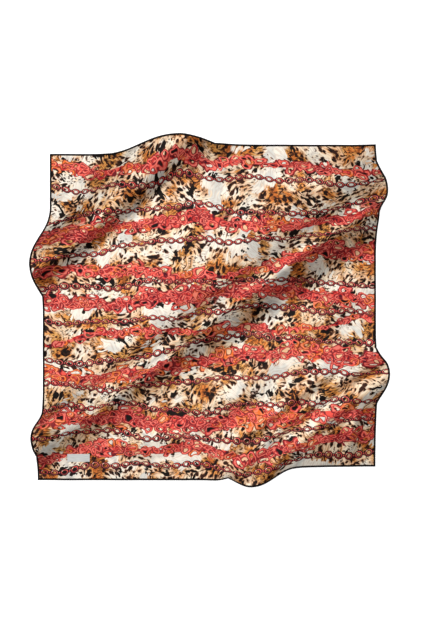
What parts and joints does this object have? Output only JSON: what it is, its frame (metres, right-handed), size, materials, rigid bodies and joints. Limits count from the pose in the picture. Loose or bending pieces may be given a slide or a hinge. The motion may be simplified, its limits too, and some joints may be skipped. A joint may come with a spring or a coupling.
{
  "type": "silk square scarf",
  "caption": "Square silk scarf laid out flat with soft diagonal folds that flare past its edges, a dark rolled hem all round and a bare sewn label near one corner.",
  "frame": {"origin": "under the middle of the laid scarf's outline, on the surface that it lies on", "axes": "+Z up out of the scarf's printed face; +X to the right and +Y up as the scarf is seen from above with the label at the lower left"},
  "size_m": [0.8972, 0.8812, 0.0544],
  "materials": {
    "printed_silk": "satin",
    "hem_silk": "satin",
    "label_satin": "satin"
  },
  "bodies": {
    "root": {"panel": "printed_silk", "hem_top": "hem_silk", "hem_bottom": "hem_silk", "hem_left": "hem_silk", "hem_right": "hem_silk", "label": "label_satin"}
  },
  "joints": []
}
